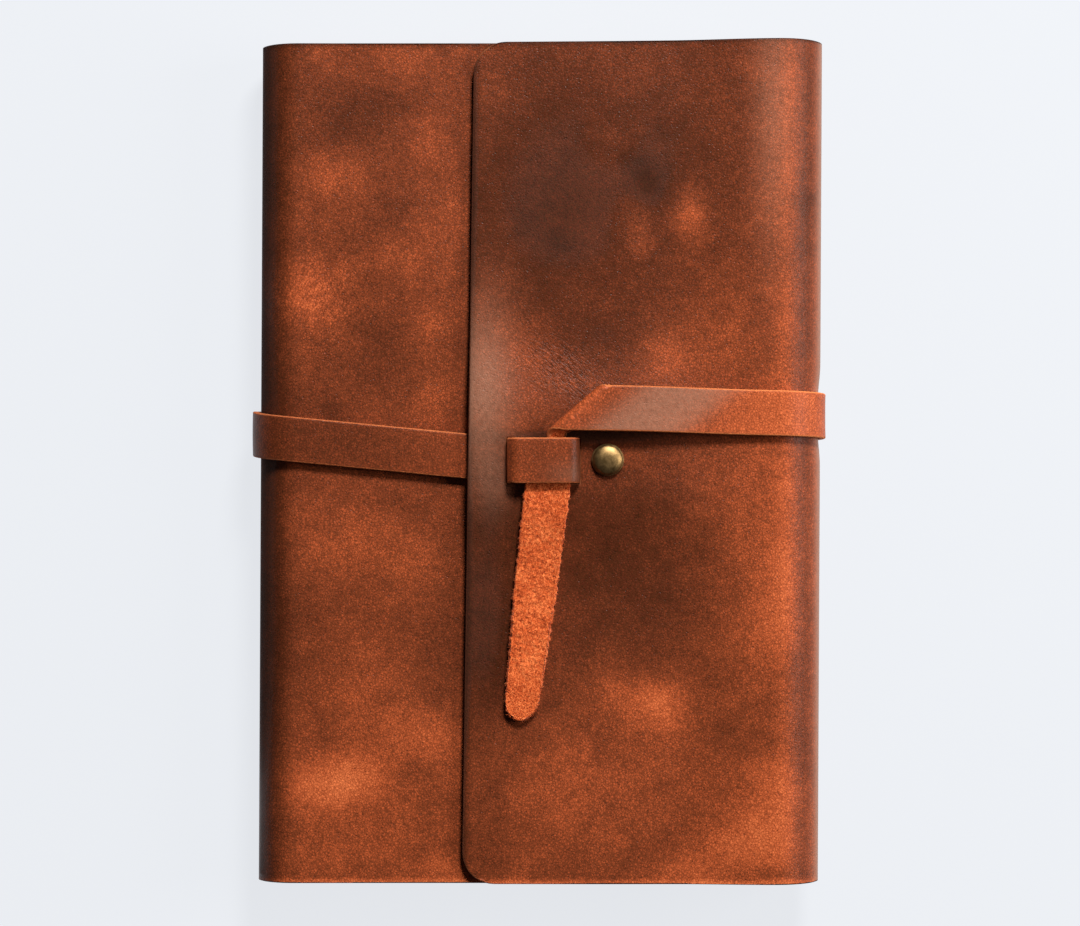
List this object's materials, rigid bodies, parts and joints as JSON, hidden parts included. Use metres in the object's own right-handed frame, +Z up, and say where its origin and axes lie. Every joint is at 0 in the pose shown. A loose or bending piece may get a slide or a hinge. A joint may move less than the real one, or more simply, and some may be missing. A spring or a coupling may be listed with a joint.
{
  "type": "leather notebook cover",
  "caption": "Soft leather notebook cover with a wrap-over flap, a wrap strap tucked under a riveted keeper, inner sleeves and a soft notebook.",
  "frame": {"origin": "under the middle of the closed cover, on the surface that it lies on", "axes": "+Y towards the head of the cover, along its height; +X from the spine towards the fore-edge; +Z up, out of the flap"},
  "size_m": [0.1528, 0.221, 0.0311],
  "materials": {
    "pull_up_leather": "oiled pull-up cowhide, grain side out, mottled tan to red-brown, soft satin sheen",
    "strap_leather": "the same hide cut as a strap, raw orange edges",
    "leather_flesh_side": "raw fuzzy flesh side, bright orange-tan",
    "sleeve_leather": "thin skived leather, matt",
    "antique_brass": "aged brass plate, worn bright on the crown",
    "notebook_card": null,
    "paper": null,
    "book_linen": "glued linen spine lining"
  },
  "bodies": {
    "back_cover": {"leather_back_panel": "pull_up_leather", "back_sleeve": "sleeve_leather", "notebook_back_cover": "notebook_card", "notebook_spine_cover": "notebook_card", "page_spine_lining": "book_linen", "back_endpaper": "paper", "page_section_1": "paper", "page_section_2": "paper", "page_section_3": "paper", "page_section_4": "paper", "page_section_5": "paper", "page_section_6": "paper", "front_endpaper": "paper", "strap_back_run": "strap_leather"},
    "spine": {"leather_spine": "pull_up_leather", "strap_spine_wrap": "strap_leather"},
    "front_cover": {"leather_front_panel": "pull_up_leather", "front_sleeve": "sleeve_leather", "strap_front_run": "strap_leather"},
    "notebook_lid": {"notebook_front_cover": "notebook_card"},
    "fore_edge": {"leather_fore_edge": "pull_up_leather", "strap_fore_edge_wrap": "strap_leather"},
    "flap": {"leather_flap": "pull_up_leather", "strap_keeper_loop": "strap_leather", "strap_free_run": "strap_leather", "rivet_cap": "antique_brass", "rivet_back_cap": "antique_brass"},
    "strap_end": {"strap_tail": "leather_flesh_side"}
  },
  "joints": [
    {"name": "cover_open", "type": "hinge", "parent": "back_cover", "child": "spine", "pos_m": [-0.07293, 0, 0.00347], "axis": [0, -1, 0], "range_deg": [0, 90]},
    {"name": "cover_fold", "type": "hinge", "parent": "spine", "child": "front_cover", "pos_m": [-0.07293, 0, 0.02073], "axis": [0, -1, 0], "range_deg": [0, 90], "deforming": ["leather_front_panel", "front_sleeve", "strap_front_run"]},
    {"name": "notebook_lid_turn", "type": "hinge", "parent": "back_cover", "child": "notebook_lid", "pos_m": [-0.0649, 0, 0.0192], "axis": [0, -1, 0], "range_deg": [0, 186.5], "deforming": ["notebook_front_cover"]},
    {"name": "flap_open", "type": "hinge", "parent": "back_cover", "child": "fore_edge", "pos_m": [0.07231, 0, 0.00409], "axis": [0, 1, 0], "range_deg": [0, 87]},
    {"name": "flap_fold", "type": "hinge", "parent": "fore_edge", "child": "flap", "pos_m": [0.07231, 0, 0.02431], "axis": [0, 1, 0], "range_deg": [0, 87]},
    {"name": "strap_end_lift", "type": "hinge", "parent": "flap", "child": "strap_end", "pos_m": [0.002, -0.00575, 0.0284], "axis": [-1, 0, 0], "range_deg": [0, 40]}
  ],
  "couplings": [
    {"joint": "cover_fold", "follows": "cover_open", "ratio": 1},
    {"joint": "notebook_lid_turn", "follows": "cover_open", "ratio": 2.0722},
    {"joint": "flap_fold", "follows": "flap_open", "ratio": 1}
  ]
}
